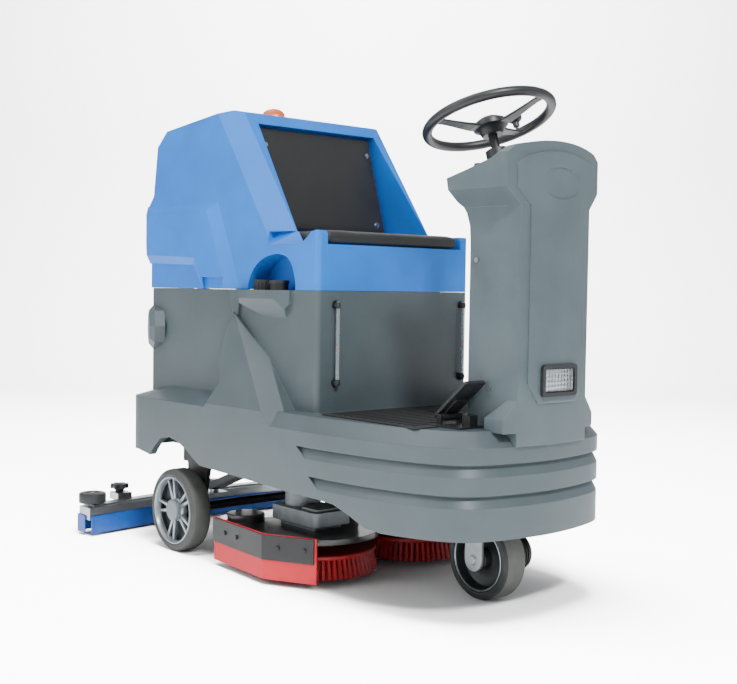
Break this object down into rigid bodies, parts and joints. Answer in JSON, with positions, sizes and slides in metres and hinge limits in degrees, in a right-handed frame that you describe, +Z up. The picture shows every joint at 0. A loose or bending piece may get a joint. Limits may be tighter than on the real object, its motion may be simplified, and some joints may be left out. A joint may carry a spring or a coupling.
{
  "type": "ride-on scrubber",
  "caption": "Ride-on floor scrubber with a tilting recovery tank and seat, steered front drive wheel, disc brush deck and rear squeegee.",
  "frame": {"origin": "on the ground, under the middle of the overall box", "axes": "+X is forward, +Y is to the driver's left, +Z is up"},
  "size_m": [1.525, 0.882, 1.2642],
  "materials": {
    "frame_black": "satin",
    "body_grey": "matte",
    "tank_blue": "satin",
    "black_plastic": "satin",
    "pad_black": "matte",
    "clear_lens": "gloss",
    "clear_tube": "gloss",
    "battery_case": "matte",
    "mat_rubber": "matte",
    "zinc_steel": "satin",
    "amber_lens": "gloss",
    "wheel_black": "satin",
    "fork_steel": "satin",
    "rear_tyre_grey": "matte",
    "drive_tyre_grey": "matte",
    "rim_silver": "satin",
    "rim_dark": "satin",
    "cap_grey": "satin",
    "cast_grey": "matte",
    "skirt_red": "satin",
    "bristle_red": "satin",
    "squeegee_alloy": "brushed",
    "blade_blue": "satin",
    "roller_black": "matte",
    "button_red": "gloss"
  },
  "bodies": {
    "chassis": {"chassis_frame": "frame_black", "lower_body": "body_grey", "front_column": "body_grey", "dash_panel": "black_plastic", "headlight_housing": "black_plastic", "headlight_lens": "clear_lens", "battery_pack": "battery_case", "level_tubes": "clear_tube", "level_fittings": "black_plastic", "floor_mat": "mat_rubber", "filler_neck": "black_plastic", "pedal_base": "frame_black", "rear_axle": "frame_black", "deck_actuator": "frame_black", "steering_chain": "zinc_steel", "body_fasteners": "zinc_steel"},
    "tank": {"recovery_tank": "tank_blue", "backrest_pad": "pad_black", "backrest_bolts": "zinc_steel", "seat_cushion": "pad_black", "beacon_base": "black_plastic", "beacon_dome": "amber_lens", "vacuum_motor": "frame_black"},
    "tank_lid": {"tank_lid": "tank_blue"},
    "filler_cap": {"filler_cap": "black_plastic"},
    "steering": {"steering_wheel": "wheel_black", "steering_hub": "wheel_black", "steering_shaft": "frame_black"},
    "spinner": {"spinner_knob": "wheel_black"},
    "lower_shaft": {"sprocket_shaft": "zinc_steel"},
    "fork": {"drive_fork": "fork_steel", "fork_sprocket": "zinc_steel", "drive_motor": "frame_black"},
    "drive_wheel": {"drive_tyre": "drive_tyre_grey", "drive_rim": "rim_dark"},
    "rear_wheel_right": {"rear_tyre_right": "rear_tyre_grey", "rear_rim_right": "rim_silver", "hub_cap_right": "cap_grey"},
    "rear_wheel_left": {"rear_tyre_left": "rear_tyre_grey", "rear_rim_left": "rim_silver", "hub_cap_left": "cap_grey"},
    "pedal": {"pedal_pad": "black_plastic"},
    "lower_links": {"lower_links": "frame_black"},
    "upper_links": {"upper_links": "frame_black"},
    "actuator_rod": {"actuator_rod": "zinc_steel"},
    "deck": {"deck_housing": "frame_black", "brush_motors": "cast_grey", "skirt_plates": "frame_black", "skirts": "skirt_red"},
    "brush_right": {"brush_right": "bristle_red"},
    "brush_left": {"brush_left": "bristle_red"},
    "squeegee_arm": {"squeegee_arm": "frame_black"},
    "squeegee": {"squeegee_body": "squeegee_alloy", "squeegee_blades": "blade_blue"},
    "squeegee_knob_right": {"squeegee_knob_right": "black_plastic"},
    "squeegee_knob_left": {"squeegee_knob_left": "black_plastic"},
    "guide_roller_right": {"guide_roller_right": "roller_black"},
    "guide_roller_left": {"guide_roller_left": "roller_black"},
    "key": {"key_switch": "black_plastic"},
    "stop_button": {"emergency_stop": "button_red"}
  },
  "joints": [
    {"name": "fork_steer", "type": "hinge", "parent": "chassis", "child": "fork", "pos_m": [0.5465, 0, 0.25], "axis": [0, 0, 1], "range_deg": [-60, 60]},
    {"name": "steering_turn", "type": "hinge", "parent": "chassis", "child": "steering", "pos_m": [0.5265, 0, 1.147], "axis": [-0.3338, 0, 0.9426], "range_deg": [-150, 150]},
    {"name": "sprocket_turn", "type": "hinge", "parent": "chassis", "child": "lower_shaft", "pos_m": [0.68479, 0, 0.318], "axis": [0, 0, 1], "range_deg": [-150, 150]},
    {"name": "spinner_spin", "type": "hinge", "parent": "steering", "child": "spinner", "pos_m": [0.49206, 0.14652, 1.13481], "axis": [-0.3338, 0, 0.9426], "continuous": true},
    {"name": "drive_wheel_roll", "type": "hinge", "parent": "fork", "child": "drive_wheel", "pos_m": [0.5465, 0, 0.099], "axis": [0, 1, 0], "continuous": true},
    {"name": "rear_wheel_right_roll", "type": "hinge", "parent": "chassis", "child": "rear_wheel_right", "pos_m": [-0.3385, -0.31, 0.115], "axis": [0, 1, 0], "continuous": true},
    {"name": "rear_wheel_left_roll", "type": "hinge", "parent": "chassis", "child": "rear_wheel_left", "pos_m": [-0.3385, 0.31, 0.115], "axis": [0, 1, 0], "continuous": true},
    {"name": "pedal_press", "type": "hinge", "parent": "chassis", "child": "pedal", "pos_m": [0.5665, -0.155, 0.452], "axis": [0, 1, 0], "range_deg": [0, 12], "stiffness_Nm_per_rad": 6, "springref_deg": -20.05},
    {"name": "deck_lift", "type": "hinge", "parent": "chassis", "child": "lower_links", "pos_m": [-0.2485, 0, 0.19], "axis": [0, 1, 0], "range_deg": [0, 4.3]},
    {"name": "deck_level", "type": "hinge", "parent": "lower_links", "child": "deck", "pos_m": [-0.0485, 0, 0.19], "axis": [0, 1, 0], "range_deg": [-4.31, 0]},
    {"name": "upper_link_swing", "type": "hinge", "parent": "chassis", "child": "upper_links", "pos_m": [-0.2485, 0, 0.232], "axis": [0, 1, 0], "range_deg": [0, 4.31]},
    {"name": "actuator_stroke", "type": "slide", "parent": "chassis", "child": "actuator_rod", "axis": [0, 0, -1], "range_m": [0, 0.0092]},
    {"name": "brush_right_spin", "type": "hinge", "parent": "deck", "child": "brush_right", "pos_m": [0.0965, -0.17, 0.082], "axis": [0, 0, 1], "continuous": true},
    {"name": "brush_left_spin", "type": "hinge", "parent": "deck", "child": "brush_left", "pos_m": [0.0965, 0.17, 0.082], "axis": [0, 0, 1], "continuous": true},
    {"name": "squeegee_lift", "type": "hinge", "parent": "chassis", "child": "squeegee_arm", "pos_m": [-0.4585, 0, 0.176], "axis": [0, 1, 0], "range_deg": [-1.2, 12]},
    {"name": "squeegee_swivel", "type": "hinge", "parent": "squeegee_arm", "child": "squeegee", "pos_m": [-0.6385, 0, 0.104], "axis": [0, 0, 1], "range_deg": [-12, 12]},
    {"name": "squeegee_knob_right_turn", "type": "hinge", "parent": "squeegee", "child": "squeegee_knob_right", "pos_m": [-0.7345, -0.285, 0.114], "axis": [0, 0, 1], "continuous": true},
    {"name": "squeegee_knob_left_turn", "type": "hinge", "parent": "squeegee", "child": "squeegee_knob_left", "pos_m": [-0.7345, 0.285, 0.114], "axis": [0, 0, 1], "continuous": true},
    {"name": "guide_roller_right_roll", "type": "hinge", "parent": "squeegee", "child": "guide_roller_right", "pos_m": [-0.6875, -0.401, 0.104], "axis": [0, 0, 1], "continuous": true},
    {"name": "guide_roller_left_roll", "type": "hinge", "parent": "squeegee", "child": "guide_roller_left", "pos_m": [-0.6875, 0.401, 0.104], "axis": [0, 0, 1], "continuous": true},
    {"name": "tank_tilt", "type": "hinge", "parent": "chassis", "child": "tank", "pos_m": [-0.6005, 0, 0.725], "axis": [0, -1, 0], "range_deg": [0, 50]},
    {"name": "tank_lid_open", "type": "hinge", "parent": "tank", "child": "tank_lid", "pos_m": [-0.50008, 0, 1.19535], "axis": [0, -1, 0], "range_deg": [0, 100]},
    {"name": "filler_cap_lift", "type": "slide", "parent": "chassis", "child": "filler_cap", "axis": [0, 0, 1], "range_m": [0, 0.02]},
    {"name": "key_turn", "type": "hinge", "parent": "chassis", "child": "key", "pos_m": [0.58521, -0.095, 1.00733], "axis": [-0.2459, 0, 0.9693], "range_deg": [0, 60]},
    {"name": "stop_press", "type": "slide", "parent": "chassis", "child": "stop_button", "axis": [0.2459, 0, -0.9693], "range_m": [0, 0.004], "stiffness_N_per_m": 900, "springref_m": -0.003}
  ],
  "couplings": [
    {"joint": "steering_turn", "follows": "fork_steer", "ratio": 2.5},
    {"joint": "sprocket_turn", "follows": "fork_steer", "ratio": 2.5},
    {"joint": "deck_level", "follows": "deck_lift", "ratio": -1},
    {"joint": "upper_link_swing", "follows": "deck_lift", "ratio": 1},
    {"joint": "actuator_stroke", "follows": "deck_lift", "m_per_rad": 0.116}
  ]
}
